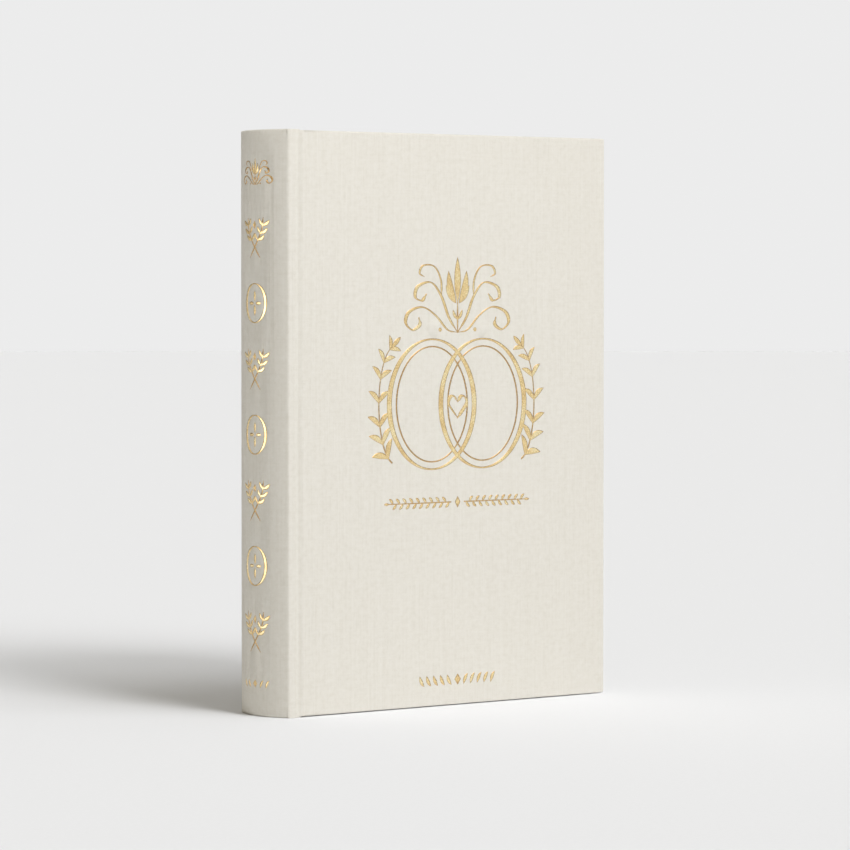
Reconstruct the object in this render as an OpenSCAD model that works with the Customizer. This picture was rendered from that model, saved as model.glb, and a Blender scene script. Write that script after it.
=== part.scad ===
// Case-bound guest book, standing on its tail edge.
// X runs from the spine (-X) to the fore-edge (+X), the front cover faces -Y, and Z is up.
// The origin is under the middle of the whole book.

/* [Leaves] */
// Width of one leaf, from fold to fore-edge
page_w = 210; // [150:1:260]
// Height of one leaf
page_h = 297; // [230:1:340]
// Thickness of one leaf
leaf_t = 0.25; // [0.15:0.01:0.3]
// How far the sewn back is rounded
back_round = 4.5; // [3.5:0.1:5]

/* [Case] */
// Thickness of the grey board
board_t = 3; // [2:0.1:3.5]
// Thickness of the book cloth
cloth_t = 0.35; // [0.3:0.01:0.5]
// Thickness of the card that stiffens the spine
liner_t = 1; // [0.6:0.1:1.2]
// How far the boards stand past the leaves at head and tail
square = 3; // [2:0.5:5]
// How far the boards stand past the leaves at the fore-edge
fore_square = 5; // [3:0.5:6]
// Width of the joint strip, from the spine's ridge to the board
joint_w = 8; // [7:0.5:10]
// How far the spine bulges past its two ridges
spine_rise = 6.5; // [6:0.1:7.5]
// Width of the cloth turned in over the boards
turn_in = 16; // [12:1:20]
// How far the covers stop short of the spine at head and tail
edge_step = 0.5; // [0.1:0.1:1]

/* [Foil] */
// Thickness of the foil, which lies level with the cover's cloth and on top of the spine's
foil_t = 0.08; // [0.05:0.01:0.15]
// Outer radius of each of the two rings on the front
ring_r = 25; // [18:1:28]
// Width of the rings' band
band_w = 1.6; // [1:0.1:2.4]
// Leaves on each sprig
sprig_leaves = 8; // [4:1:10]

/* [Hidden] */
$fn = 64;
SECTIONS = 15;
SHEETS = 4;
SLIT = 0.01;        // air between neighbouring sheets of one section
HEART = 0.1;        // air inside the innermost fold
SECTION_GAP = 0.05; // air between pieces of the block that turn apart
COVER_GAP = 0.1;    // air between a flyleaf and its pastedown
SLIT_GAP = 0.2;     // half of the slit in the cloth at a hinge axis
CUT = 1;            // how far a cutting shape runs past what it cuts

// The block, across its thickness
section_t = 2 * SHEETS * leaf_t + 2 * (SHEETS - 1) * SLIT + HEART;
pitch = section_t + SECTION_GAP;
fold_r = section_t / 2;
edge_y = (SECTIONS - 1) / 2 * pitch;
block_y = edge_y + fold_r;
flyleaf_y = block_y + SECTION_GAP;

// The covers, from the pastedown outwards
pastedown_y = flyleaf_y + leaf_t + COVER_GAP;
turn_in_y = pastedown_y + leaf_t;
board_y = turn_in_y + cloth_t;
cover_y = board_y + board_t + cloth_t;
ridge_y = cover_y - 0.45;

// Along the book, from the spine's ridge
shoulder_from_ridge = 1.5;
hinge_from_ridge = 0.9;
cover_w = shoulder_from_ridge + page_w + fore_square + cloth_t;
book_w = foil_t + spine_rise + cover_w;
apex_x = foil_t - book_w / 2;
ridge_x = apex_x + spine_rise;
hinge_x = ridge_x + hinge_from_ridge;
shoulder_x = ridge_x + shoulder_from_ridge;
board_x = ridge_x + joint_w;
page_end_x = shoulder_x + page_w;
board_end_x = page_end_x + fore_square;
cover_end_x = board_end_x + cloth_t;

// Heights
board_h = page_h + 2 * square;
cover_h = board_h + 2 * cloth_t;
book_h = cover_h + 2 * edge_step;
cover_z = edge_step;
board_z = cover_z + cloth_t;
page_z = board_z + square;
window_z = board_z + turn_in;

// The case's spine is an arc about a centre on the book's middle plane.
spine_r = (ridge_y * ridge_y + spine_rise * spine_rise) / (2 * spine_rise);
spine_cx = apex_x + spine_r;
liner_y = ridge_y - 1.7;

// The folds of the sections lie on an arc of their own, inside it.
fold_arc_r = (edge_y * edge_y + back_round * back_round) / (2 * back_round);
back_cx = shoulder_x + fold_r + sqrt(fold_arc_r * fold_arc_r - edge_y * edge_y);

// Layers on the sewn back, as distances from the centre of that arc
mull_t = 0.25;
lining_t = 0.2;
band_t = 0.25;
mull_r = fold_arc_r + fold_r + 0.03;
band_r = mull_r;
lining_r = mull_r + mull_t;
back_half_angle = 30;
band_skirt_h = 12;
bead_r = 1.1;
wing_w = 25;
wing_t = 0.2;
wing_inset_z = 22;

// Thread
thread_r = 0.2;
stitch_h = 5;
STATIONS = 6;
FIRST_FIXED = 5; // the sections from this one to its mirror image don't turn

// Colours
IVORY = [0.91, 0.89, 0.84];
PAPER = [0.96, 0.95, 0.91];
GREY_BOARD = [0.62, 0.58, 0.52];
CARD = [0.8, 0.77, 0.7];
KRAFT = [0.72, 0.58, 0.42];
GOLD = [0.83, 0.69, 0.42];
THREAD = [0.95, 0.93, 0.86];

function two_digits(n) = n < 10 ? str("0", n) : str(n);
function section_name(n) = str("signature_", two_digits(n));
function section_y(n) = (n - (SECTIONS + 1) / 2) * pitch;
function arc_x(cx, r, y) = cx - sqrt(r * r - y * y);

// ---- Helpers ----

// A box from its lowest and highest corners
module box(low, high) {
    translate(low)
        cube(high - low);
}

// The back's copy of a piece that is drawn for the front
module on_back() {
    mirror([0, 1, 0])
        children();
}

// The area inside the case's spine and joints: an arc of this radius, cut off at this far out and at the end
module spine_area(r, y, end_x) {
    low_x = spine_cx - r - CUT;
    intersection() {
        translate([spine_cx, 0])
            circle(r, $fn = 256);
        translate([low_x, -y])
            square([end_x - low_x, 2 * y]);
    }
}

// Part of a ring on the sewn back, up to the given angle on both sides
module back_sector(r, t, z, h) {
    translate([back_cx, 0, z])
        rotate([0, 0, 180 - back_half_angle])
            rotate_extrude(angle = 2 * back_half_angle, $fn = 256)
                translate([r, 0])
                    square([t, h]);
}

// ---- Ornament, as flat outlines ----

module ring_outline(r, w) {
    difference() {
        circle(r);
        circle(r - w);
    }
}

// A leaf from the origin along +X, pointed at both ends
module leaf_outline(length, width) {
    r = (length * length + width * width) / (4 * width);
    intersection() {
        translate([length / 2, r - width / 2])
            circle(r);
        translate([length / 2, width / 2 - r])
            circle(r);
    }
}

module lozenge_outline(length, width) {
    polygon([[-length / 2, 0], [0, -width / 2], [length / 2, 0], [0, width / 2]]);
}

// Leaves in pairs along an arc about the origin, from one angle to the other
module sprig_outline(r, from, to) {
    for (k = [0:sprig_leaves - 1]) {
        a = from + (to - from) * k / (sprig_leaves - 1);
        rotate(a)
            translate([r, 0])
                rotate(to > from ? 55 : -55)
                    leaf_outline(11, 4);
    }
}

// The front's ornament, about the middle of its wreath
module front_outline() {
    for (side = [-1, 1])
        translate([side * ring_r * 0.62, 0])
            ring_outline(ring_r, band_w);
    sprig_outline(50, -60, 55);
    sprig_outline(50, 240, 125);
    translate([0, 70])
        lozenge_outline(9, 14);
    for (side = [-1, 1])
        translate([side * 10, 70])
            lozenge_outline(7, 3);
}

// Rule with a lozenge in its middle
module rule_outline(length, width) {
    lozenge_outline(length, width);
    lozenge_outline(width * 5, width * 3);
}

// One motif of the row on the spine: a lozenge between two leaves
module spine_motif() {
    lozenge_outline(5, 9);
    for (turn = [0, 180])
        rotate(turn)
            translate([3.5, 0])
                leaf_outline(7, 3);
}

wreath_x = (board_x + cover_end_x) / 2;
wreath_z = book_h * 0.56;
rule_z = book_h * 0.357;
foot_z = book_h * 0.046;
motif_first_z = book_h * 0.145;
motif_pitch = book_h * 0.112;
MOTIFS = 8;

// The front's foil, sunk into the cover's cloth by its own thickness
module front_foil_slab() {
    translate([wreath_x, -cover_y + foil_t, 0])
        rotate([90, 0, 0])
            linear_extrude(foil_t) {
                translate([0, wreath_z])
                    front_outline();
                translate([0, rule_z])
                    rule_outline(98, 1.4);
                translate([0, foot_z])
                    rule_outline(58, 1.2);
            }
}

// ---- The case ----

module board_solid() {
    box([board_x, -board_y - board_t, board_z], [board_end_x, -board_y, board_z + board_h]);
}

module front_board() {
    color(GREY_BOARD)
        board_solid();
}

module back_board() {
    color(GREY_BOARD)
        on_back()
            board_solid();
}

// Cloth around a board, with its turn-ins and the strip that bends at the joint
module cover_cloth_solid() {
    difference() {
        union() {
            box([board_x - cloth_t, -cover_y, cover_z], [cover_end_x, -turn_in_y, cover_z + cover_h]);
            box([hinge_x + SLIT_GAP, -ridge_y, 0], [board_x, -ridge_y + cloth_t, book_h]);
        }
        board_solid();
        box([board_x - cloth_t - CUT, -board_y, window_z],
            [board_end_x - turn_in, -turn_in_y + CUT, book_h - window_z]);
        box([board_x - cloth_t - CUT, -ridge_y + cloth_t, -CUT], [board_x, -turn_in_y + CUT, book_h + CUT]);
    }
}

module front_cover_cloth() {
    color(IVORY)
        difference() {
            cover_cloth_solid();
            front_foil_slab();
        }
}

module back_cover_cloth() {
    color(IVORY)
        on_back()
            cover_cloth_solid();
}

module spine_cloth() {
    color(IVORY)
        linear_extrude(book_h)
            difference() {
                spine_area(spine_r, ridge_y, hinge_x - SLIT_GAP);
                spine_area(spine_r - cloth_t, ridge_y - cloth_t, hinge_x);
            }
}

module spine_liner() {
    outer_r = spine_r - cloth_t;
    color(CARD)
        translate([0, 0, cloth_t])
            linear_extrude(book_h - 2 * cloth_t)
                intersection() {
                    difference() {
                        translate([spine_cx, 0])
                            circle(outer_r, $fn = 256);
                        translate([spine_cx, 0])
                            circle(outer_r - liner_t, $fn = 256);
                    }
                    translate([apex_x, -liner_y])
                        square([spine_rise + CUT, 2 * liner_y]);
                }
}

// ---- The endpapers ----

// Mull that reaches from the joint over the inside of a board
module wing_solid() {
    box([board_x, -board_y, wing_inset_z], [board_x + wing_w, -board_y + wing_t, book_h - wing_inset_z]);
}

// Pastedown with the thicker middle that fills the space between the turn-ins
module pastedown_solid() {
    difference() {
        union() {
            box([board_x, -turn_in_y, page_z], [page_end_x, -pastedown_y, page_z + page_h]);
            box([board_x, -board_y, window_z], [board_end_x - turn_in, -turn_in_y, book_h - window_z]);
        }
        wing_solid();
    }
}

module flyleaf_solid() {
    box([shoulder_x, -flyleaf_y - leaf_t, page_z], [page_end_x, -flyleaf_y, page_z + page_h]);
}

module front_pastedown() {
    color(PAPER)
        pastedown_solid();
}

module back_pastedown() {
    color(PAPER)
        on_back()
            pastedown_solid();
}

module front_flyleaf() {
    color(PAPER)
        flyleaf_solid();
}

module back_flyleaf() {
    color(PAPER)
        on_back()
            flyleaf_solid();
}

module front_mull_wing() {
    color(THREAD)
        wing_solid();
}

module back_mull_wing() {
    color(THREAD)
        on_back()
            wing_solid();
}

// ---- The block ----

// A fold of this radius about the origin, whose two legs run along +X
module fold_area(r, length) {
    circle(r);
    translate([0, -r])
        square([length, 2 * r]);
}

// One section: folded sheets nested in each other
module signature(n) {
    y = section_y(n);
    leg = page_w - fold_r;
    color(PAPER)
        translate([arc_x(back_cx, fold_arc_r, y), y, page_z])
            linear_extrude(page_h)
                for (k = [0:SHEETS - 1]) {
                    outer_r = fold_r - k * (leaf_t + SLIT);
                    difference() {
                        fold_area(outer_r, leg);
                        fold_area(outer_r - leaf_t, leg + CUT);
                    }
                }
}

// Link stitches in the valleys between the sections that stay with the spine
module sewing_thread() {
    color(THREAD)
        for (n = [FIRST_FIXED:SECTIONS - FIRST_FIXED]) {
            y = (section_y(n) + section_y(n + 1)) / 2;
            lean = asin(y / fold_arc_r);
            r = fold_arc_r * cos(asin(pitch / 2 / fold_arc_r)) + 0.72 * fold_r;
            for (s = [0:STATIONS - 1])
                translate([back_cx - r * cos(lean), r * sin(lean),
                           page_z + page_h * (s + 0.5) / STATIONS - stitch_h / 2])
                    cylinder(r = thread_r, h = stitch_h, $fn = 24);
        }
}

module mull() {
    color(THREAD)
        back_sector(mull_r, mull_t, page_z + band_skirt_h + 2, page_h - 2 * band_skirt_h - 4);
}

module spine_lining() {
    color(KRAFT)
        back_sector(lining_r, lining_t, page_z + 2, page_h - 4);
}

// A bead on top of the folds and a skirt glued to their backs, for the head of the block
module band_solid() {
    bead_z = page_z + page_h + SECTION_GAP + bead_r;
    back_sector(band_r, band_t, page_z + page_h - band_skirt_h, band_skirt_h + bead_r);
    translate([back_cx, 0, bead_z])
        rotate([0, 0, 180 - back_half_angle])
            rotate_extrude(angle = 2 * back_half_angle, $fn = 128)
                translate([fold_arc_r + 0.35, 0])
                    circle(bead_r, $fn = 32);
}

module headband() {
    color(IVORY)
        band_solid();
}

module tailband() {
    color(IVORY)
        translate([0, 0, book_h])
            mirror([0, 0, 1])
                band_solid();
}

// ---- The foil ----

module front_foil() {
    color(GOLD)
        front_foil_slab();
}

// Motifs cut out of a thin shell that follows the spine's arc
module spine_foil() {
    color(GOLD)
        intersection() {
            translate([apex_x - CUT, 0, 0])
                rotate([90, 0, 90])
                    linear_extrude(spine_rise + CUT)
                        for (k = [0:MOTIFS - 1])
                            translate([0, motif_first_z + k * motif_pitch])
                                spine_motif();
            linear_extrude(book_h)
                difference() {
                    translate([spine_cx, 0])
                        circle(spine_r + foil_t, $fn = 256);
                    translate([spine_cx, 0])
                        circle(spine_r, $fn = 256);
                }
        }
}

front_board();
back_board();
spine_liner();
front_cover_cloth();
spine_cloth();
back_cover_cloth();
front_pastedown();
back_pastedown();
front_flyleaf();
back_flyleaf();
for (n = [1:SECTIONS])
    signature(n);
sewing_thread();
mull();
front_mull_wing();
back_mull_wing();
spine_lining();
headband();
tailband();
front_foil();
spine_foil();
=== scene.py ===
import math
import random
from contextlib import contextmanager

import bpy
import bmesh
import numpy as np
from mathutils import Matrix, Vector
from mathutils.geometry import delaunay_2d_cdt


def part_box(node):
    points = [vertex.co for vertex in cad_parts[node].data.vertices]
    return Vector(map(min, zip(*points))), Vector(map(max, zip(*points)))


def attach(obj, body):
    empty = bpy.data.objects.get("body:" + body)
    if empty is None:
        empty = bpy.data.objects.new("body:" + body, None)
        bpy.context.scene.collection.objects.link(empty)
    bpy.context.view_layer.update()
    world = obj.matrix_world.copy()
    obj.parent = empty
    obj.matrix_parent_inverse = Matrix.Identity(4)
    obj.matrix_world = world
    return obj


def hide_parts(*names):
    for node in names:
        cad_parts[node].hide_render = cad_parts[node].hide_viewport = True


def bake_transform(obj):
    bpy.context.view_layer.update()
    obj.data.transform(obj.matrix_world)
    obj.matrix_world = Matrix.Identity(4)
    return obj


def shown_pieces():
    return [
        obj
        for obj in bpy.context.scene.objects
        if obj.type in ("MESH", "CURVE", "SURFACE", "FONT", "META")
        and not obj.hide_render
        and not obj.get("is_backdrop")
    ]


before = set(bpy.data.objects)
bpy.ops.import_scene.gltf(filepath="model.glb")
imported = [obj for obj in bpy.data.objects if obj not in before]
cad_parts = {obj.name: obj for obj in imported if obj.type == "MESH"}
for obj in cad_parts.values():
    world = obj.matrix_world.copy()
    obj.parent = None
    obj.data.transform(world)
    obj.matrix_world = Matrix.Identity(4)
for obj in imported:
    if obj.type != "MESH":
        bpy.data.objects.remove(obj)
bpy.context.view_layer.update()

# Lengths in this script are millimetres, and become metres where a mesh is made.
MM = 0.001


def corners(node):
    """Lowest and highest corner of a CAD node, in millimetres."""
    low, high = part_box(node)
    return [c / MM for c in low], [c / MM for c in high]


# ---- Sizes, from the CAD frame ----

CLOTH_T = 0.35
SPINE_RISE = 6.5
RIDGE_FILLET = 1.6
STRIP_DROP = 0.42
TURN_IN = 16.0
EDGE_R = 0.8
CORNER_R = 1.1
# Depth from the outside of the cloth to the outside of its turn-in.
SPINE_CORE = 1.7
STRIP_CORE = 0.85
BOARD_CORE = 3.7
STRIP_R = 0.41
SHEETS = 4
SECTIONS = 15
FIRST_FIXED = 5
LAST_FIXED = SECTIONS + 1 - FIRST_FIXED
# A leaf has close points up to LEAF_BEND from the shoulder, and few beyond LEAF_FLAT.
LEAF_BEND = 45.0
LEAF_FLAT = 60.0
BAND_ANGLE = 30.0

board_low, _ = corners("front_board")
cloth_low, cloth_high = corners("front_cover_cloth")
spine_low, spine_high = corners("spine_cloth")
leaf_low, leaf_high = corners("front_flyleaf")
_, paste_high = corners("front_pastedown")

BOARD_X = board_low[0]
COVER_X = cloth_high[0]
COVER_Y = -cloth_low[1]
BOOK_H = spine_high[2]
COVER_Z = board_low[2] - CLOTH_T
APEX_X = spine_low[0]
RIDGE_Y = spine_high[1]
RIDGE_X = APEX_X + SPINE_RISE
SPINE_R = (RIDGE_Y ** 2 + SPINE_RISE ** 2) / (2 * SPINE_RISE)
SPINE_CX = APEX_X + SPINE_R
STRIP_Y = COVER_Y - STRIP_DROP
SHOULDER_X = leaf_low[0]
LEAF_T = leaf_high[1] - leaf_low[1] - 0.01
PAGE_X = leaf_high[0]
PAGE_Z = leaf_low[2]
PAGE_TOP = leaf_high[2]
FLYLEAF_Y = -leaf_high[1]
PASTE_Y = -paste_high[1]

random.seed(7)


# ---- Mesh helpers ----

def add_object(name, mesh):
    obj = bpy.data.objects.new(name, mesh)
    bpy.context.scene.collection.objects.link(obj)
    return obj


def mesh_object(name, points, faces, material, uvs=None, smooth_angle=35):
    """A mesh piece from points in millimetres. uvs holds one (u, v) per point."""
    mesh = bpy.data.meshes.new(name)
    mesh.from_pydata([(x * MM, y * MM, z * MM) for x, y, z in points], [], faces)
    if uvs is not None:
        layer = mesh.uv_layers.new(name="surface")
        for loop in mesh.loops:
            layer.data[loop.index].uv = uvs[loop.vertex_index]
    mesh.shade_smooth()
    mesh.set_sharp_from_angle(angle=math.radians(smooth_angle))
    mesh.materials.append(material)
    return add_object(name, mesh)


def grid_faces(rows, columns, start=0, closed=False, flip=False):
    """Faces of a grid whose points are stored row by row. closed joins the last column to the first."""
    faces = []
    for i in range(rows - 1):
        for j in range(columns if closed else columns - 1):
            k = (j + 1) % columns
            face = [start + i * columns + j, start + i * columns + k,
                    start + (i + 1) * columns + k, start + (i + 1) * columns + j]
            faces.append(face[::-1] if flip else face)
    return faces


@contextmanager
def edited(obj):
    """The object's mesh as a bmesh, written back at the end."""
    mesh = bmesh.new()
    mesh.from_mesh(obj.data)
    yield mesh
    mesh.to_mesh(obj.data)
    mesh.free()


def weld(obj, distance=0.0005):
    """Joins points that lie on each other, within a distance in millimetres."""
    with edited(obj) as mesh:
        bmesh.ops.remove_doubles(mesh, verts=mesh.verts, dist=distance * MM)


def solidify(obj, thickness):
    """Gives a sheet its thickness, behind the side that it faces."""
    modifier = obj.modifiers.new("thickness", "SOLIDIFY")
    modifier.thickness = thickness * MM
    modifier.offset = -1
    apply_modifiers(obj)


def apply_modifiers(obj):
    graph = bpy.context.evaluated_depsgraph_get()
    mesh = bpy.data.meshes.new_from_object(obj.evaluated_get(graph))
    obj.modifiers.clear()
    obj.data = mesh


def face_towards(obj, direction):
    """Makes the faces of a sheet agree, with most of them facing this way."""
    with edited(obj) as mesh:
        bmesh.ops.recalc_face_normals(mesh, faces=mesh.faces)
        if sum(f.calc_area() * f.normal.dot(direction) for f in mesh.faces) < 0:
            bmesh.ops.reverse_faces(mesh, faces=mesh.faces)


def recalculated(obj):
    """Turns all faces outwards."""
    with edited(obj) as mesh:
        bmesh.ops.recalc_face_normals(mesh, faces=mesh.faces)
    return obj


def set_point_values(obj, name, values):
    attribute = obj.data.attributes.new(name, "FLOAT", "POINT")
    attribute.data.foreach_set("value", values)


def flatten(obj, side):
    """Shades the large faces that look straight out of a cover as flat."""
    for polygon in obj.data.polygons:
        if polygon.normal.y * side > 0.99999:
            polygon.use_smooth = False


def smoothstep(low, high, x):
    t = min(1.0, max(0.0, (x - low) / (high - low)))
    return t * t * (3 - 2 * t)


# ---- Materials ----

WEAVE_PITCH = 0.5


class Shader:
    """A material whose nodes are added one by one, ending in one Principled BSDF."""

    def __init__(self, name):
        self.material = bpy.data.materials.new(name)
        self.material.use_nodes = True
        self.tree = self.material.node_tree
        self.bsdf = self.tree.nodes["Principled BSDF"]

    def node(self, kind, **settings):
        made = self.tree.nodes.new("ShaderNode" + kind)
        for key, value in settings.items():
            setattr(made, key, value)
        return made

    def link(self, output, socket):
        self.tree.links.new(output, socket)

    def feed(self, socket, value):
        """Links an output to the socket, or sets the socket to a plain value."""
        if isinstance(value, bpy.types.NodeSocket):
            self.link(value, socket)
        else:
            socket.default_value = value

    def math(self, operation, *values):
        made = self.node("Math", operation=operation)
        for socket, value in zip(made.inputs, values):
            self.feed(socket, value)
        return made.outputs[0]

    def weighted(self, *terms):
        """Sum of (value, weight) pairs."""
        total = None
        for value, weight in terms:
            part = self.math("MULTIPLY", value, weight)
            total = part if total is None else self.math("ADD", total, part)
        return total

    def wave(self, value, length):
        """Sine that crosses zero once in each length."""
        return self.math("SINE", self.math("MULTIPLY", value, math.pi / length))

    def mix(self, blend, factor, first, second):
        made = self.node("MixRGB", blend_type=blend)
        for socket, value in zip(made.inputs, (factor, first, second)):
            self.feed(socket, value)
        return made.outputs[0]

    def ramp(self, factor, stops):
        """Colour ramp from a list of (position, colour)."""
        made = self.node("ValToRGB")
        elements = made.color_ramp.elements
        while len(elements) < len(stops):
            elements.new(0.5)
        for element, (position, colour) in zip(elements, stops):
            element.position = position
            element.color = (*colour, 1)
        self.link(factor, made.inputs[0])
        return made.outputs[0]

    def noise(self, vector, scale, detail=3.0, roughness=0.5):
        made = self.node("TexNoise")
        made.inputs["Scale"].default_value = scale
        made.inputs["Detail"].default_value = detail
        made.inputs["Roughness"].default_value = roughness
        self.link(vector, made.inputs["Vector"])
        return made.outputs[0]

    def scaled(self, vector, scale):
        made = self.node("Mapping")
        made.inputs["Scale"].default_value = scale
        self.link(vector, made.inputs["Vector"])
        return made.outputs[0]

    def grain(self, uv, across, along, detail, roughness=0.5):
        """Noise whose scale differs across and along the surface."""
        return self.noise(self.scaled(uv, (across, along, 1)), 1.0, detail, roughness)

    def uv(self):
        return self.node("UVMap", uv_map="surface").outputs[0]

    def colour(self, output):
        self.link(output, self.bsdf.inputs["Base Color"])

    def object_vector(self):
        return self.node("TexCoord").outputs["Object"]

    def bump(self, height, distance, strength=1.0):
        """Bump from a height of 0 to 1 that stands for this many millimetres."""
        made = self.node("Bump")
        made.inputs["Distance"].default_value = distance * MM
        made.inputs["Strength"].default_value = strength
        self.link(height, made.inputs["Height"])
        self.link(made.outputs[0], self.bsdf.inputs["Normal"])

    def set(self, **values):
        for key, value in values.items():
            self.bsdf.inputs[key.replace("_", " ")].default_value = value


def weave_height(shader, uv, pitch):
    """Height of a plain weave of threads at this pitch, with slightly uneven threads."""
    uneven = shader.grain(uv, 0.9, 0.9, 2.0)
    wobble = shader.node("VectorMath", operation="SCALE")
    shift = shader.node("CombineXYZ")
    shader.link(uneven, shift.inputs[0])
    shader.link(uneven, shift.inputs[1])
    shader.link(shift.outputs[0], wobble.inputs[0])
    wobble.inputs["Scale"].default_value = 0.35
    moved = shader.node("VectorMath", operation="ADD")
    shader.link(uv, moved.inputs[0])
    shader.link(wobble.outputs[0], moved.inputs[1])
    threads = shader.scaled(moved.outputs[0], (1 / pitch, 1 / pitch, 1))
    checker = shader.node("TexChecker")
    checker.inputs["Scale"].default_value = 1.0
    shader.link(threads, checker.inputs["Vector"])
    parts = shader.node("SeparateXYZ")
    shader.link(threads, parts.inputs[0])
    warp = shader.math("ABSOLUTE", shader.wave(parts.outputs[0], 1))
    weft = shader.math("ABSOLUTE", shader.wave(parts.outputs[1], 1))
    over = shader.math("MULTIPLY", warp, checker.outputs["Fac"])
    under = shader.math("MULTIPLY", weft, shader.math("SUBTRACT", 1.0, checker.outputs["Fac"]))
    return shader.math("ADD", over, under)


def cloth_material():
    """Ivory linen book cloth: plain weave with slubs along and across, and a soft sheen."""
    shader = Shader("ivory book cloth")
    uv = shader.uv()
    weave = weave_height(shader, uv, WEAVE_PITCH)
    along = shader.grain(uv, 1.25, 0.06, 4.0, 0.6)
    across = shader.grain(uv, 0.07, 1.4, 4.0, 0.6)
    mottle = shader.grain(uv, 0.35, 0.35, 5.0, 0.65)
    streaks = shader.grain(uv, 0.75, 0.012, 3.0, 0.6)
    slubs = shader.weighted((along, 0.34), (streaks, 0.36), (across, 0.30))
    tone = shader.weighted((slubs, 0.6), (mottle, 0.4))
    base = shader.ramp(tone, [(0.38, (0.800, 0.767, 0.690)), (0.5, (0.850, 0.820, 0.750)),
                              (0.62, (0.885, 0.858, 0.795))])
    # Painted shade: the weave's low places between the threads are painted darker.
    weave_valley_shade = shader.ramp(weave, [(0.0, (0.88, 0.87, 0.85)), (0.55, (1.0, 1.0, 1.0))])
    shader.colour(shader.mix("MULTIPLY", 1.0, base, weave_valley_shade))
    shader.bump(shader.weighted((weave, 0.5), (slubs, 1.3)), 0.09, 0.8)
    shader.set(Roughness=0.82, Sheen_Weight=0.25, Sheen_Roughness=0.45, Specular_IOR_Level=0.25)
    return shader.material


def foil_material():
    """Hot-stamped gold foil that follows the cloth's grain, with painted shade: it turns brown towards the
    edges of each stroke, where the stamped walls would shade it.
    """
    shader = Shader("gold foil")
    uv = shader.uv()
    painted_rim_shade = shader.node("Attribute", attribute_name="painted_rim_shade").outputs["Fac"]
    drift = shader.grain(uv, 0.12, 0.12, 2.0)
    wear = shader.grain(uv, 1.3, 1.3, 3.0)
    tone = shader.weighted((drift, 0.8), (wear, 0.2))
    gold = shader.ramp(tone, [(0.34, (0.84, 0.62, 0.31)), (0.5, (0.95, 0.75, 0.40)),
                              (0.64, (1.0, 0.86, 0.52))])
    # Painted shade: brown towards each stroke's edges, standing in for the shadow of the stamped walls.
    edge = shader.ramp(painted_rim_shade, [(0.2, (0, 0, 0)), (0.75, (0.9, 0.9, 0.9))])
    shader.colour(shader.mix("MIX", edge, gold, (0.57, 0.37, 0.17, 1)))
    roughness = shader.math("ADD", 0.22, shader.math("MULTIPLY", wear, 0.1))
    shader.link(roughness, shader.bsdf.inputs["Roughness"])
    shader.bump(weave_height(shader, uv, WEAVE_PITCH), 0.012, 0.4)
    shader.set(Metallic=1.0)
    return shader.material


def paper_material(name, colour):
    """Uncoated paper with faint fibres and clouds. The tone of each leaf differs a little."""
    shader = Shader(name)
    uv = shader.uv()
    leaf_tone = shader.node("Attribute", attribute_name="leaf_tone").outputs["Fac"]
    clouds = shader.noise(uv, 0.05, 4.0)
    fibres = shader.grain(uv, 0.9, 2.6, 3.0, 0.7)
    paper = shader.math("ADD", shader.weighted((clouds, 0.12), (fibres, 0.5)), 0.19)
    tone = shader.math("SUBTRACT", paper, shader.math("MULTIPLY", leaf_tone, 0.3))
    darker = tuple(c * 0.86 for c in colour)
    shader.colour(shader.ramp(tone, [(0.2, darker), (0.55, colour)]))
    shader.bump(fibres, 0.02, 0.4)
    shader.set(Roughness=0.9, Specular_IOR_Level=0.2, Subsurface_Weight=0.1,
               Subsurface_Radius=(0.001, 0.0008, 0.0006))
    return shader.material


def silk_material(name, light, dark):
    """Wound silk thread of a headband, in two close tones that change with every few turns."""
    shader = Shader(name)
    parts = shader.node("SeparateXYZ")
    shader.link(shader.uv(), parts.inputs[0])
    turns = shader.wave(parts.outputs[0], 1.8)
    shader.colour(shader.ramp(turns, [(0.45, dark), (0.55, light)]))
    shader.bump(shader.math("ABSOLUTE", shader.wave(parts.outputs[0], 0.22)), 0.05, 0.8)
    shader.set(Roughness=0.45, Sheen_Weight=0.4, Sheen_Roughness=0.3)
    return shader.material


def fibre_material(name, light, dark, grain):
    """Board, card or kraft paper: coarse flecks in two tones."""
    shader = Shader(name)
    place = shader.object_vector()
    flecks = shader.noise(place, grain, 6.0, 0.75)
    specks = shader.noise(place, grain * 6, 2.0)
    tone = shader.weighted((flecks, 0.7), (specks, 0.3))
    shader.colour(shader.ramp(tone, [(0.38, dark), (0.6, light)]))
    shader.bump(tone, 0.06, 0.6)
    shader.set(Roughness=0.92)
    return shader.material


def gauze_material(name, colour, pitch):
    """Open-weave gauze or twisted thread, shaded by its place."""
    shader = Shader(name)
    weave = weave_height(shader, shader.scaled(shader.object_vector(), (1000, 1000, 1000)), pitch)
    shade = tuple(c * 0.7 for c in colour)
    shader.colour(shader.ramp(weave, [(0.1, shade), (0.6, colour)]))
    shader.bump(weave, 0.12, 0.8)
    shader.set(Roughness=0.85, Sheen_Weight=0.2)
    return shader.material


def studio_material(name, colour):
    """Matt seamless paper under the book."""
    shader = Shader(name)
    grain = shader.noise(shader.object_vector(), 400.0, 2.0)
    darker = tuple(c * 0.985 for c in colour)
    shader.colour(shader.ramp(grain, [(0.3, darker), (0.7, colour)]))
    shader.set(Roughness=0.95, Specular_IOR_Level=0.0)
    return shader.material


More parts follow.
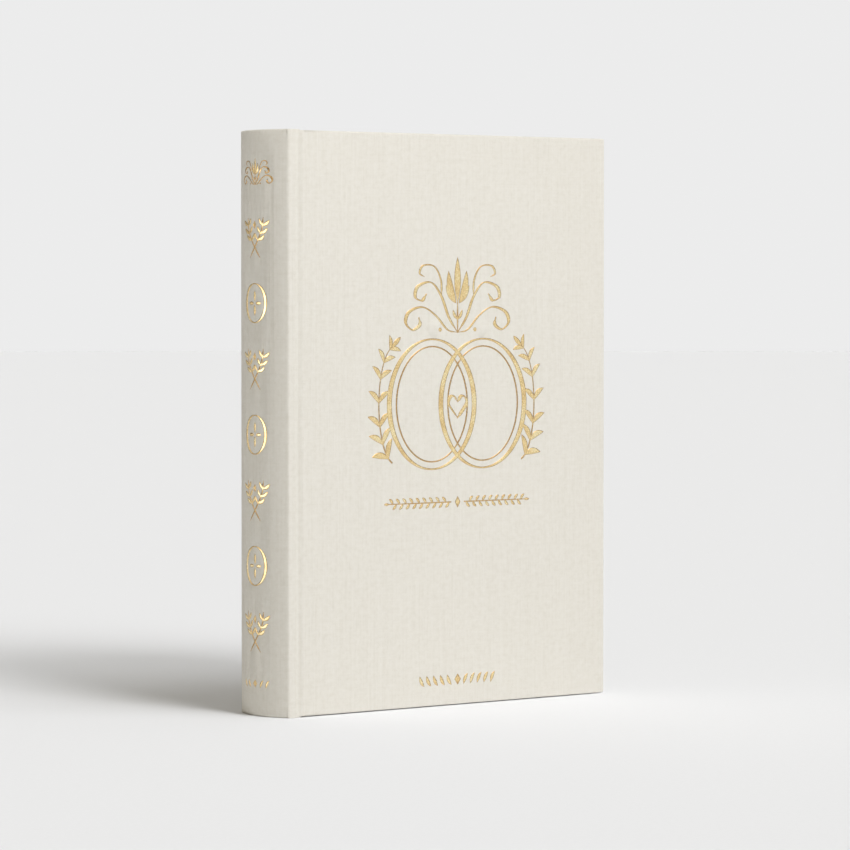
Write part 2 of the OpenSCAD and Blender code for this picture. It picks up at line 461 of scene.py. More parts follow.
CLOTH = cloth_material()
FOIL = foil_material()
LEAF = paper_material("cream leaf", (0.87, 0.845, 0.785))
ENDPAPER = paper_material("ivory endpaper", (0.85, 0.82, 0.755))
SILK = silk_material("headband silk", (0.86, 0.82, 0.73), (0.74, 0.66, 0.50))
BOARD = fibre_material("grey board", (0.40, 0.36, 0.31), (0.24, 0.21, 0.18), 1400)
CARD = fibre_material("spine card", (0.62, 0.57, 0.48), (0.46, 0.41, 0.34), 1600)
KRAFT = fibre_material("kraft lining", (0.50, 0.34, 0.20), (0.36, 0.24, 0.14), 1800)
MULL = gauze_material("mull gauze", (0.78, 0.74, 0.64), 0.9)
THREAD = gauze_material("sewing thread", (0.86, 0.82, 0.72), 0.3)


# ---- Strokes of the ornament, in the plane of the cloth ----

def directions(points, closed=False):
    """Which way a line runs at each of its points, as vectors of any length."""
    if closed:
        return np.roll(points, -1, 0) - np.roll(points, 1, 0)
    return np.gradient(points, axis=0)


def tangents_and_normals(points, closed=False):
    """Unit vectors along a line and to its left, at each of its points."""
    tangent = directions(points, closed)
    tangent /= np.linalg.norm(tangent, axis=1)[:, None]
    return tangent, np.stack([-tangent[:, 1], tangent[:, 0]], 1)


class Stroke:
    """A pen stroke: points along its middle and its width at each. closed joins its ends."""

    def __init__(self, points, widths, closed=False):
        self.points = np.array(points, float)
        self.widths = np.array(widths, float)
        self.closed = closed

    def moved(self, x, y, turn=0.0, mirror=False):
        points = self.points * (-1, 1) if mirror else self.points
        c, s = math.cos(math.radians(turn)), math.sin(math.radians(turn))
        across, up = points[:, 0], points[:, 1]
        turned = np.stack([across * c - up * s, across * s + up * c], 1)
        return Stroke(turned + (x, y), self.widths, self.closed)

    def outline(self, grow):
        """The closed outlines of the stroke, wider than itself by grow on each side."""
        tangent, normal = tangents_and_normals(self.points, self.closed)
        half = np.maximum(self.widths / 2 + grow, 0.02)[:, None]
        left, right = self.points + normal * half, self.points - normal * half
        if self.closed:
            return [left, right]
        turns = np.radians([-60, -30, 0, 30, 60])
        first = [self.points[0] + half[0] * (normal[0] * math.sin(a) - tangent[0] * math.cos(a))
                 for a in turns]
        last = [self.points[-1] + half[-1] * (tangent[-1] * math.cos(a) - normal[-1] * math.sin(a))
                for a in turns]
        return [np.concatenate([first, left, last, right[::-1]])]


def pen(points, thin=0.9, thick=2.7, nib=0.0, closed=False):
    """A stroke as from a pen held at an angle: thick where it goes upwards, and fine at its ends."""
    points = np.array(points, float)
    tangent = directions(points, closed)
    angle = np.arctan2(tangent[:, 1], tangent[:, 0]) - math.radians(nib)
    widths = thin + (thick - thin) * np.abs(np.sin(angle)) ** 1.7
    if not closed:
        along = np.linspace(0, 1, len(points))
        widths = widths * np.clip(np.minimum(along, 1 - along) * 12, 0.45, 1)
    return Stroke(points, widths, closed)


def arc(x, y, rx, ry, start, end, count):
    """Points on an ellipse from one angle to another, in degrees."""
    angles = np.radians(np.linspace(start, end, count))
    return np.stack([x + rx * np.cos(angles), y + ry * np.sin(angles)], 1)


def through(knots, steps=10):
    """A smooth curve through knots."""
    knots = np.array(knots, float)
    padded = np.concatenate([[2 * knots[0] - knots[1]], knots, [2 * knots[-1] - knots[-2]]])
    points = []
    for i in range(1, len(padded) - 2):
        p0, p1, p2, p3 = padded[i - 1:i + 3]
        for t in np.linspace(0, 1, steps, endpoint=False):
            points.append(0.5 * (2 * p1 + (p2 - p0) * t + (2 * p0 - 5 * p1 + 4 * p2 - p3) * t * t
                                 + (3 * p1 - p0 - 3 * p2 + p3) * t ** 3))
    points.append(knots[-1])
    return np.array(points)


def leaf(length, width, bend=0.12):
    """A leaf from the origin along x, pointed at both ends."""
    t = np.linspace(0, 1, 13)
    points = np.stack([length * t, length * bend * np.sin(math.pi * t)], 1)
    return Stroke(points, 0.12 + width * np.sin(math.pi * t) ** 0.85)


def lozenge(width, height):
    t = np.array([0, 0.5, 1])
    return Stroke(np.stack([t * 0, (t - 0.5) * height], 1), [0.1, width, 0.1])


def dot(size):
    t = np.linspace(-1, 1, 9)
    return Stroke(np.stack([t * size / 2 * 0.98, t * 0], 1), 0.06 + size * np.sqrt(np.clip(1 - t ** 2, 0, 1)))


def ring(x, y, rx, ry, thin, thick):
    return pen(arc(x, y, rx, ry, 0, 355, 72), thin, thick, closed=True)


def sprig(height, leaves, size, curve):
    """An upright stem that bows out to the right, with leaves in pairs."""
    stem = arc(-curve, height / 2, curve, height / 2, -78, 78, 40)
    strokes = [Stroke(stem, np.linspace(1.0, 0.5, len(stem)))]
    for k in range(leaves):
        t = (k + 0.6) / leaves
        i = min(len(stem) - 2, int(t * len(stem)))
        heading = math.degrees(math.atan2(*(stem[i + 1] - stem[i])[::-1]))
        long = size * (1 - 0.35 * t)
        strokes.append(leaf(long, long * 0.30).moved(*stem[i], turn=heading - 48))
        strokes.append(leaf(long, long * 0.30, -0.12).moved(*stem[i], turn=heading + 48))
    strokes.append(leaf(size * 0.7, size * 0.22, 0.0).moved(*stem[-1], turn=heading))
    return strokes


def heart(size, thin, thick):
    """An open heart in one looping stroke."""
    half = through([(0, -1.0), (-0.62, -0.3), (-0.98, 0.25), (-0.78, 0.72), (-0.38, 0.78), (-0.02, 0.35)])
    left = pen(half * size, thin, thick, nib=-30)
    right = pen(half * (-1, 1) * size, thin, thick, nib=-30)
    return [left, right]


def flourish(scale, thin, thick):
    """A symmetrical vignette: three pairs of scrolls that open round a fan of leaves on a stem."""
    low_scroll = through([(0, -20), (7, -18.5), (15, -11), (24, -6.5), (33, -9), (35.5, -14.5), (31, -18.5),
                          (26, -16), (26.5, -12.2)])
    high_scroll = through([(0, -20), (6, -12), (11, -1), (18, 6.5), (27, 4.5), (29, -1), (24.5, -3),
                           (21.5, 0.2)])
    tendril = through([(11, -1), (11.5, 8), (16, 15), (23.5, 15.5), (26, 11.5), (22.8, 9.6)])
    strokes = [pen(np.array([(0, -20), (0, -12), (0, -3)]) * scale, thin, thin * 1.6)]
    for side in (1, -1):
        for line, width in ((low_scroll, thick), (high_scroll, thick), (tendril, thick * 0.6)):
            strokes.append(pen(line * (side, 1) * scale, thin, width, nib=18 * side))
        for turn, length in ((17, 18), (36, 12)):
            strokes.append(leaf(length * scale, length * 0.23 * scale, -0.08 * side)
                           .moved(side * 0.9 * scale, -4.5 * scale, turn=90 - side * turn))
        strokes.append(leaf(6 * scale, 1.8 * scale, -0.1 * side).moved(0, -13 * scale, turn=90 - side * 32))
        strokes.append(dot(2.0 * scale).moved(side * 12 * scale, -18.5 * scale))
    strokes.append(leaf(24 * scale, 4.4 * scale, 0.0).moved(0, -4 * scale, turn=90))
    return strokes


def front_strokes(centre):
    """The whole ornament of the front cover, as (x, z) on the book."""
    strokes = [s.moved(centre, 219) for s in flourish(1.0, 0.75, 2.3)]
    for side in (-1, 1):
        strokes.append(ring(centre + side * 17.5, 161, 29, 34.5, 0.9, 3.3))
        strokes.append(ring(centre + side * 17.5, 161, 24.2, 30.6, 0.75, 1.0))
        strokes += [s.moved(centre + side * 53.5, 130, mirror=side < 0) for s in sprig(62, 7, 11.5, 11)]
    strokes += [s.moved(centre, 160) for s in heart(6.4, 0.8, 2.2)]
    strokes += border_strokes(centre, 108.7, 98)
    strokes += foot_strokes(centre, 13.9, 57, 5.6)
    return strokes


def border_strokes(centre, z, width):
    """Two fine garlands, with leaves above and below their stems, on both sides of a lozenge."""
    strokes = [lozenge(3.4, 6.0).moved(centre, z)]
    count = 9
    start = 4.6
    step = (width / 2 - start - 4) / count
    for side in (-1, 1):
        stem = np.array([(side * start, 0), (side * width / 4, 0), (side * (width / 2 - 2), 0)])
        strokes.append(Stroke(stem, [0.7, 0.6, 0.5]).moved(centre, z))
        for k in range(count):
            x = centre + side * (start + step * (k + 0.3))
            for up in (-1, 1):
                turn = up * 48 if side > 0 else 180 - up * 48
                shift = side * step * (0.25 + 0.25 * up)
                strokes.append(leaf(3.7, 1.5, 0.1 * up * side).moved(x + shift, z, turn=turn))
        strokes.append(leaf(3.4, 1.3, 0).moved(centre + side * (width / 2 - 2.4), z, turn=90 - side * 90))
    return strokes


def foot_strokes(centre, z, width, height):
    """A bold row of slanted leaves that lean away from the middle."""
    strokes = [lozenge(height * 0.72, height).moved(centre, z)]
    count = 5
    step = (width / 2 - height * 0.9) / count
    for side in (-1, 1):
        for k in range(count):
            x = centre + side * (height * 0.75 + step * k)
            strokes.append(leaf(height * 1.12, height * 0.36, 0.08)
                           .moved(x, z - height / 2, turn=90 - side * 28))
    return strokes


def spine_strokes(first, pitch, count):
    """The row of ornaments up the spine, as (distance round the spine from its middle, z)."""
    strokes = []
    for k in range(count):
        z = first + k * pitch
        if k == count - 1:
            strokes += [s.moved(0.5, z) for s in flourish(0.34, 0.5, 1.3)]
        elif k % 2 == 0:
            strokes += spray(z)
        else:
            strokes += medallion(z)
    strokes += [lozenge(3.0, 4.2).moved(0, 17.1)]
    for side in (-1, 1):
        for step in (4.0, 8.0):
            strokes.append(leaf(4.6, 1.5, 0.08).moved(side * step, 15.0, turn=90 - side * 28))
    return strokes


def spray(z):
    """Two crossed sprigs, 21 mm tall."""
    strokes = []
    for side in (-1, 1):
        stem = through([(side * 4.2, -10.5), (-side * 1.2, -3.5), (-side * 5.4, 3.5), (-side * 6.6, 10.2)])
        strokes.append(pen(stem, 0.5, 1.1).moved(0, z))
        for t in (0.42, 0.6, 0.78):
            x, y = stem[int(t * len(stem))]
            strokes.append(leaf(5.4, 1.9, 0.1 * side).moved(x, z + y, turn=90 + side * 62))
            strokes.append(leaf(4.4, 1.6, -0.1 * side).moved(x, z + y, turn=90 - side * 34))
    strokes.append(lozenge(2.4, 4.4).moved(0, z + 6.4))
    return strokes


def medallion(z):
    """An upright oval with a leaf cross in it, 21 mm tall."""
    strokes = [ring(0, z, 8.1, 10.1, 0.55, 2.2)]
    for turn in (0, 90, 180, 270):
        length = 5.6 if turn in (90, 270) else 4.0
        strokes.append(leaf(length, 1.7, 0.0).moved(0.9 * math.cos(math.radians(turn)),
                                                     z + 0.9 * math.sin(math.radians(turn)), turn=turn))
    return strokes


# ---- Stamped cloth ----

STAMP_DEPTH = 0.1
CAP_DEPTH = 1.3
CAP_HEIGHT = 7.0
WALL = 0.16
# Width of the painted shade along the inside of each foil stroke's edge.
SHADED_RIM_WIDTH = 0.55
FOIL_LIFT = 0.03
FOIL_T = 0.02


def distance_to_strokes(points, strokes):
    """How far each point lies outside the nearest stroke; negative inside it."""
    nearest = np.full(len(points), 1e9)
    for stroke in strokes:
        a, wa = stroke.points, stroke.widths
        if stroke.closed:
            b, wb = np.roll(a, -1, 0), np.roll(wa, -1)
        else:
            a, b, wa, wb = a[:-1], a[1:], wa[:-1], wa[1:]
        reach = stroke.widths.max() / 2 + 1.0
        low, high = stroke.points.min(0) - reach, stroke.points.max(0) + reach
        close = np.nonzero(((points >= low) & (points <= high)).all(1))[0]
        if not len(close):
            continue
        p = points[close][:, None, :]
        d = (b - a)[None]
        t = np.clip(((p - a[None]) * d).sum(2) / (d ** 2).sum(2), 0, 1)
        gap = np.linalg.norm(p - (a[None] + d * t[..., None]), axis=2) - (wa + (wb - wa) * t) / 2
        nearest[close] = np.minimum(nearest[close], gap.min(1))
    return nearest


def stamped_sheet(boundary, strokes, guides):
    """Triangles of a flat area with the strokes pressed into it.
    boundary is a closed loop and guides are lines to keep as edges. Returns points, depths, the painted
    shade of the foil's rims, all the faces, and those of them that the foil covers."""
    points, edges = [], []

    def add_loop(loop):
        start = len(points)
        points.extend(Vector(p) for p in loop)
        edges.extend((start + i, start + (i + 1) % len(loop)) for i in range(len(loop)))

    add_loop(boundary)
    for a, b in guides:
        edges.append((len(points), len(points) + 1))
        points += [Vector(a), Vector(b)]
    for stroke in strokes:
        # Outlines: the cloth's wall, the stroke itself, and the inner end of the foil's painted rim shade.
        for grow in (WALL, 0.0, -SHADED_RIM_WIDTH):
            if grow < 0 and stroke.widths.max() < 2.4 * SHADED_RIM_WIDTH:
                continue
            for loop in stroke.outline(grow):
                add_loop(loop)
    found, _, faces, _, _, _ = delaunay_2d_cdt(points, edges, [], 1, 1e-4)
    flat = np.array([tuple(p) for p in found])
    gap = distance_to_strokes(flat, strokes)
    depths = np.where(gap < 0.3 * WALL, STAMP_DEPTH, 0.0)
    # Painted shade: 1 on a stroke's outline, falling to 0 one rim width inside it.
    painted_rim_shades = np.clip(1 + gap / SHADED_RIM_WIDTH, 0, 1)
    centres = np.array([flat[list(f)].mean(0) for f in faces])
    inside = distance_to_strokes(centres, strokes) < 0
    cloth = [f if cross_2d(flat, f) > 0 else f[::-1] for f in faces]
    foil = [f for f, is_in in zip(cloth, inside) if is_in]
    return flat, depths, painted_rim_shades, cloth, foil


def cross_2d(flat, face):
    a, b, c = (flat[i] for i in face[:3])
    return (b[0] - a[0]) * (c[1] - a[1]) - (b[1] - a[1]) * (c[0] - a[0])


def foil_object(name, flat, depths, painted_rim_shades, faces, place):
    """A thin skin of foil on the stamped faces."""
    used = sorted({i for f in faces for i in f})
    number = {i: k for k, i in enumerate(used)}
    points = [place(*flat[i], depths[i] - FOIL_LIFT) for i in used]
    obj = mesh_object(name, points, [[number[i] for i in f] for f in faces], FOIL,
                      [tuple(flat[i]) for i in used])
    # Painted shade for the foil's rims, read by its material.
    set_point_values(obj, "painted_rim_shade", [float(painted_rim_shades[i]) for i in used])
    solidify(obj, FOIL_T)
    return obj


# ---- The case's cloth ----

def fold_profile(core, radius):
    """Depth and inset of the cloth's outside, from the face round the edge to the end of the turn-in."""
    profile = [(0.0, radius + 1.2), (0.0, radius)]
    for k in range(1, 7):
        a = math.radians(15 * k)
        profile.append((radius * (1 - math.cos(a)), radius * (1 - math.sin(a))))
    for k in range(0, 6):
        a = math.radians(90 - 18 * k)
        profile.append((core - radius * (1 - math.cos(a)), radius * (1 - math.sin(a))))
    profile.append((core, radius))
    profile.append((core, TURN_IN))
    return profile


class Column:
    """One line of the case's cross-section, from tail to head. cap is its share of the spine's caps."""

    def __init__(self, x, y, normal, along, core, radius, low, high, cap=0.0):
        self.x, self.y, self.normal, self.along = x, y, normal, along
        self.low, self.high, self.cap = low, high, cap
        self.profile = fold_profile(core, radius)

    def point(self, depth, z):
        inwards = depth + self.cap * cap_depth(z)
        return (self.x - self.normal[0] * inwards, self.y - self.normal[1] * inwards, z)


def cap_depth(z):
    """How far the spine draws in at its head and tail, where cloth is turned over the card's ends."""
    from_end = min(z, BOOK_H - z)
    return CAP_DEPTH * max(0.0, 1 - from_end / CAP_HEIGHT) ** 2


def profile_lengths(profile):
    """Length along a fold profile up to each of its points."""
    total, lengths = 0.0, [0.0]
    for (d0, i0), (d1, i1) in zip(profile, profile[1:]):
        total += math.hypot(d1 - d0, i1 - i0)
        lengths.append(total)
    return lengths


def fold_grid(columns, end):
    """Points and UVs of the cloth that folds over the columns' head (end 1) or tail (end -1)."""
    points, uvs = [], []
    for k in range(len(columns[0].profile)):
        for column in columns:
            depth, inset = column.profile[k]
            edge = column.high if end > 0 else column.low
            points.append(column.point(depth, edge - end * inset))
            length = profile_lengths(column.profile)[k]
            uvs.append((column.along, edge + end * (length - column.profile[0][1])))
    return points, uvs


def spine_columns():
    """Columns round the spine and both ridges, from the back's strip to the front's."""
    fillet_y = STRIP_Y - RIDGE_FILLET
    fillet_x = SPINE_CX - math.sqrt((SPINE_R - RIDGE_FILLET) ** 2 - fillet_y ** 2)
    end_angle = math.asin(fillet_y / (SPINE_R - RIDGE_FILLET))
    half = []
    for k in range(0, 25):
        a = end_angle * k / 24
        half.append((SPINE_CX - SPINE_R * math.cos(a), SPINE_R * math.sin(a), a, SPINE_R * a,
                     SPINE_CORE))
    for k in range(1, 9):
        a = end_angle + (math.pi / 2 - end_angle) * k / 8
        along = SPINE_R * end_angle + RIDGE_FILLET * (a - end_angle)
        core = SPINE_CORE - (SPINE_CORE - STRIP_CORE) * k / 8
        x, y = fillet_x - RIDGE_FILLET * math.cos(a), fillet_y + RIDGE_FILLET * math.sin(a)
        half.append((x, y, a, along, core))
    columns = []
    for sign, part in ((1, half[:0:-1]), (-1, half)):
        for x, y, a, along, core in part:
            normal = (-math.cos(a), sign * math.sin(a))
            cap = smoothstep(0.0, 0.45, end_angle - a + 0.2) if a < end_angle + 0.2 else 0.0
            columns.append(Column(x, sign * y, normal, -sign * along, core, core * 0.48, 0, BOOK_H, cap))
    return columns


def strip_outside(x):
    """How far out the cloth's outside lies over the joint strip and the board's edge."""
    groove = 0.30 * math.exp(-((x - BOARD_X + 1.7) / 1.0) ** 2)
    return STRIP_Y - groove + (COVER_Y - STRIP_Y) * smoothstep(BOARD_X - 1.1, BOARD_X + 1.3, x)


def joint_columns(side, start):
    """Columns over one joint, from the ridge's end to the board. side is -1 on the front and 1 on the back."""
    first_x, first_along = start
    columns = []
    xs = list(np.linspace(first_x, first_x + 3.2, 15)) + list(np.linspace(first_x + 3.6, BOARD_X + 1.8, 26))
    along, last = first_along, None
    for x in xs:
        y = strip_outside(x)
        slope = (strip_outside(x + 0.01) - strip_outside(x - 0.01)) / 0.02
        length = math.hypot(1, slope)
        if last is not None:
            along += math.hypot(x - last[0], y - last[1])
        last = (x, y)
        board = smoothstep(BOARD_X - 0.9, BOARD_X + 0.1, x)
        core = STRIP_CORE + (BOARD_CORE - STRIP_CORE) * board
        radius = STRIP_R + (EDGE_R - STRIP_R) * board
        step = COVER_Z * board
        columns.append(Column(x, side * y, (-slope / length, side / length), -side * along, core, radius,
                              step, BOOK_H - step))
    return columns


def sheet_grid(columns, end_rows):
    """One sheet over the columns, with its folds at head and tail."""
    rows = []
    for end in (-1, 1):
        points, uvs = fold_grid(columns, end)
        width = len(columns)
        split = [(points[i:i + width], uvs[i:i + width]) for i in range(0, len(points), width)]
        rows += split[::-1] if end < 0 else split
    points = [p for row in rows for p in row[0]]
    uvs = [uv for row in rows for uv in row[1]]
    return points, uvs, grid_faces(len(rows), len(columns), flip=end_rows)


def spine_cloth():
    """The cloth round the spine, with its row of ornaments stamped in."""
    columns = spine_columns()
    width = len(columns)
    points, uvs, faces = [], [], []
    for end in (-1, 1):
        made, made_uvs = fold_grid(columns, end)
        faces += grid_faces(len(made) // width, width, start=len(points), flip=end > 0)
        points += made
        uvs += made_uvs
    inset = [c.profile[0][1] for c in columns]
    low = [(c.along, c.low + i) for c, i in zip(columns, inset)]
    high = [(c.along, c.high - i) for c, i in zip(columns, inset)]
    boundary = low + high[::-1]
    strokes = spine_strokes(BOOK_H * 0.145, BOOK_H * 0.112, 8)
    guides = list(zip(low[1:-1], high[1:-1]))
    for step in (2.8, 3.8, 5.2, CAP_HEIGHT):
        for z in (step, BOOK_H - step):
            guides.append(((low[0][0], z), (low[-1][0], z)))
    flat, depths, painted_rim_shades, cloth, foil = stamped_sheet(boundary, strokes, guides)

    alongs = np.array([c.along for c in columns])
    order = np.argsort(alongs)

    def place(along, z, depth):
        """A point on the cloth, this deep under its outside."""
        i = int(np.clip(np.searchsorted(alongs[order], along) - 1, 0, width - 2))
        a, b = columns[order[i]], columns[order[i + 1]]
        t = (along - a.along) / (b.along - a.along)
        nx = a.normal[0] + (b.normal[0] - a.normal[0]) * t
        ny = a.normal[1] + (b.normal[1] - a.normal[1]) * t
        x = a.x + (b.x - a.x) * t
        y = a.y + (b.y - a.y) * t
        inwards = depth + (a.cap + (b.cap - a.cap) * t) * cap_depth(z)
        return (x - nx * inwards, y - ny * inwards, z)

    start = len(points)
    points += [place(*p, d) for p, d in zip(flat, depths)]
    uvs += [tuple(p) for p in flat]
    faces += [[start + i for i in f] for f in cloth]
    obj = mesh_object("spine_cloth_sheet", points, faces, CLOTH, uvs, 60)
    weld(obj)
    face_towards(obj, Vector((-1, 0, 0)))
    return obj, foil_object("spine_foil_skin", flat, depths, painted_rim_shades, foil, place)


def joint_cloth(side, name):
    """The cloth over one joint, which bends when the cover opens."""
    ends = [c for c in spine_columns() if c.along * -side > 0]
    last = max(ends, key=lambda c: abs(c.along))
    columns = joint_columns(side, (last.x, abs(last.along)))
    points, uvs, faces = sheet_grid(columns, side > 0)
    obj = mesh_object(name, points, faces, CLOTH, uvs, 60)
    face_towards(obj, Vector((0, side, 0)))
    solidify(obj, CLOTH_T)
    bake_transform(obj)
    return columns[-1]


def u_ring(x0, inset, low, high):
    """Points along head, fore-edge and tail at this inset from the cover's outline."""
    radius = max(CORNER_R - inset, 0.25)
    right, top, bottom = COVER_X - inset, high - inset, low + inset
    points = [(x, top) for x in np.linspace(x0, right - radius, 12)]
    points += [tuple(p) for p in arc(right - radius, top - radius, radius, radius, 78.75, 0, 8)]
    points += [(right, z) for z in np.linspace(top - radius, bottom + radius, 14)[1:]]
    points += [tuple(p) for p in arc(right - radius, bottom + radius, radius, radius, -11.25, -90, 8)]
    points += [(x, bottom) for x in np.linspace(right - radius, x0, 12)[1:]]
    return points


def cover_cloth(side, name, strokes, edge):
    """The cloth over one board, wrapped round three edges, with its ornament stamped in."""
    x0, along0 = edge.x, abs(edge.along)
    low, high = COVER_Z, BOOK_H - COVER_Z
    profile = edge.profile
    lengths = profile_lengths(profile)
    points, uvs = [], []
    outer = u_ring(x0, profile[0][1], low, high)
    for (depth, inset), length in zip(profile, lengths):
        for (x, z), (ox, oz) in zip(u_ring(x0, inset, low, high), outer):
            points.append((x, side * (COVER_Y - depth), z))
            off = (x - ox, z - oz)
            size = math.hypot(*off)
            reach = length / size if size > 1e-6 else 0.0
            if inset >= profile[0][1]:
                reach = -reach
            u, v = ox + off[0] * reach, oz + off[1] * reach
            uvs.append((-side * (along0 + u - x0), v))
    width = len(outer)
    faces = grid_faces(len(profile), width, flip=side < 0)
    flat, depths, painted_rim_shades, cloth, foil = stamped_sheet(outer, strokes, [])

    def place(x, z, depth):
        return (x, side * (COVER_Y - depth), z)

    start = len(points)
    points += [place(*p, d) for p, d in zip(flat, depths)]
    uvs += [(-side * (along0 + p[0] - x0), p[1]) for p in flat]
    faces += [[start + i for i in (f if side < 0 else f[::-1])] for f in cloth]
    obj = mesh_object(name, points, faces, CLOTH, uvs, 60)
    weld(obj)
    face_towards(obj, Vector((0, side, 0)))
    solidify(obj, CLOTH_T)
    flatten(obj, side)
    skin = None
    if foil:
        skin = foil_object("front_foil_skin", flat, depths, painted_rim_shades, foil, place)
    return obj, skin


def spine_card():
    """The card inside the spine's cloth, which follows its caps."""
    columns = [c for c in spine_columns() if abs(c.y) < RIDGE_Y - 1.8]
    heights = [CLOTH_T + 0.1, 1.0, 2.0, 3.0, 4.2, 5.6, CAP_HEIGHT]
    heights += [BOOK_H - z for z in reversed(heights)]
    points = [c.point(CLOTH_T + 0.03, z) for z in heights for c in columns]
    obj = mesh_object("spine_card", points, grid_faces(len(heights), len(columns)), CARD)
    face_towards(obj, Vector((-1, 0, 0)))
    solidify(obj, 0.95)
    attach(obj, "spine")
    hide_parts("spine_liner")


def build_case():
    spine_card()
    spine, spine_skin = spine_cloth()
    solidify(spine, CLOTH_T)
    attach(spine, "spine")
    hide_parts("spine_cloth")
    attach(spine_skin, "spine")
    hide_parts("spine_foil")
    for side, name in ((-1, "front"), (1, "back")):
        body = name + "_cover"
        edge = joint_cloth(side, name + "_joint_cloth")
        centre = (BOARD_X + COVER_X) / 2 + 0.3
        strokes = front_strokes(centre) if side < 0 else []
        cover, skin = cover_cloth(side, name + "_cover_sheet", strokes, edge)
        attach(cover, body)
        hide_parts(name + "_cover_cloth")
        if skin:
            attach(skin, body)
            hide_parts("front_foil")


# ---- Endpapers ----

def strip_solid(path, thickness, low, high, rows=2):
    """Points and faces of a strip of paper: an (x, y) path with thickness, drawn up from low to high."""
    path = np.array(path, float)
    aside = tangents_and_normals(path)[1] * thickness / 2
    loop = np.concatenate([path + aside, (path - aside)[::-1]])
    points = [(x, y, z) for z in np.linspace(low, high, rows) for x, y in loop]
    count = len(loop)
    faces = grid_faces(rows, count, closed=True)
    for row, flip in ((0, True), (rows - 1, False)):
        half = count // 2
        for i in range(half - 1):
            near, far = row * count + i, row * count + count - 1 - i
            face = [near, near + 1, far - 1, far]
            faces.append(face[::-1] if flip else face)
    return points, faces


def sheet_uvs(points):
    """Flat coordinates for paper, in millimetres, that also run on over its edges."""
    return [(x + 3 * y, z) for x, y, z in points]


def flyleaf(side, name):
    y = side * (FLYLEAF_Y + LEAF_T / 2)
    xs = np.concatenate([np.linspace(SHOULDER_X, SHOULDER_X + LEAF_BEND, 40),
                         np.linspace(SHOULDER_X + LEAF_FLAT, PAGE_X, 6)])
    points, faces = strip_solid([(x, y) for x in xs], LEAF_T, PAGE_Z, PAGE_TOP)
    obj = recalculated(mesh_object(name + "_sheet", points, faces, ENDPAPER, sheet_uvs(points)))
    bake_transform(obj)
    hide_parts(name)


def pastedown(side, name, body):
    """The half of the endpaper glued to the board, which shows the edges of the turn-ins under it."""
    x0, x1 = BOARD_X - 0.2, PAGE_X
    rings = [(0.0, 0.0), (9.5, 0.0), (11.6, 0.0), (12.3, 0.12), (13.0, 0.28), (13.8, 0.3), (30.0, 0.3)]
    points = []
    for thick in (0.0, LEAF_T):
        for inset, depth in rings:
            right, top, bottom = x1 - max(0, inset - 0.3), PAGE_TOP - inset, PAGE_Z + inset
            loop = [(x0, top), (right, top), (right, bottom), (x0, bottom)]
            points += [(x, side * (PASTE_Y + depth + thick), z) for x, z in loop]
    faces = []
    for layer, flip in ((0, side < 0), (len(rings) * 4, side > 0)):
        for k in range(len(rings) - 1):
            for i in range(3):
                a, b = layer + k * 4 + i, layer + (k + 1) * 4 + i
                face = [a, a + 1, b + 1, b]
                faces.append(face if flip else face[::-1])
        last = layer + (len(rings) - 1) * 4
        faces.append([last + i for i in range(4)][::(1 if flip else -1)])
    base = len(rings) * 4
    for i in range(3):
        faces.append([i, i + 1, base + i + 1, base + i])
    left = [k * 4 for k in range(len(rings))] + [k * 4 + 3 for k in reversed(range(len(rings)))]
    for a, b in zip(left, left[1:]):
        faces.append([a, b, base + b, base + a])
    obj = recalculated(mesh_object(name + "_sheet", points, faces, ENDPAPER, sheet_uvs(points)))
    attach(obj, body)
    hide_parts(name)


def endpaper_joint(side, name):
    """The endpaper's strip between the flyleaf's fold and the pastedown, glued down inside the joint."""
    inner = STRIP_Y - STRIP_CORE - 0.2
    knots = [(SHOULDER_X + 0.2, FLYLEAF_Y + 0.25), (SHOULDER_X - 0.35, FLYLEAF_Y + 0.7),
             (SHOULDER_X - 0.45, inner - 0.9), (SHOULDER_X + 0.1, inner - 0.1),
             (SHOULDER_X + 1.4, inner), (BOARD_X - 1.6, inner),
             (BOARD_X - 0.75, inner - 0.3), (BOARD_X - 0.55, inner - 1.2), (BOARD_X - 0.55, PASTE_Y + 0.8),
             (BOARD_X - 0.45, PASTE_Y + 0.25), (BOARD_X - 0.1, PASTE_Y + LEAF_T / 2)]
    path = [(x, side * y) for x, y in through(knots, 8)]
    points, faces = strip_solid(path, LEAF_T, PAGE_Z, PAGE_TOP)
    obj = recalculated(mesh_object(name + "_endpaper_joint", points, faces, ENDPAPER, sheet_uvs(points)))
    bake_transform(obj)


# ---- The block ----

def section_shape(number):
    """Fold position and middle plane of a section, from its CAD solid."""
    low, high = corners(f"signature_{number:02d}")
    radius = (high[1] - low[1]) / 2
    return low[0] + radius, (low[1] + high[1]) / 2, radius


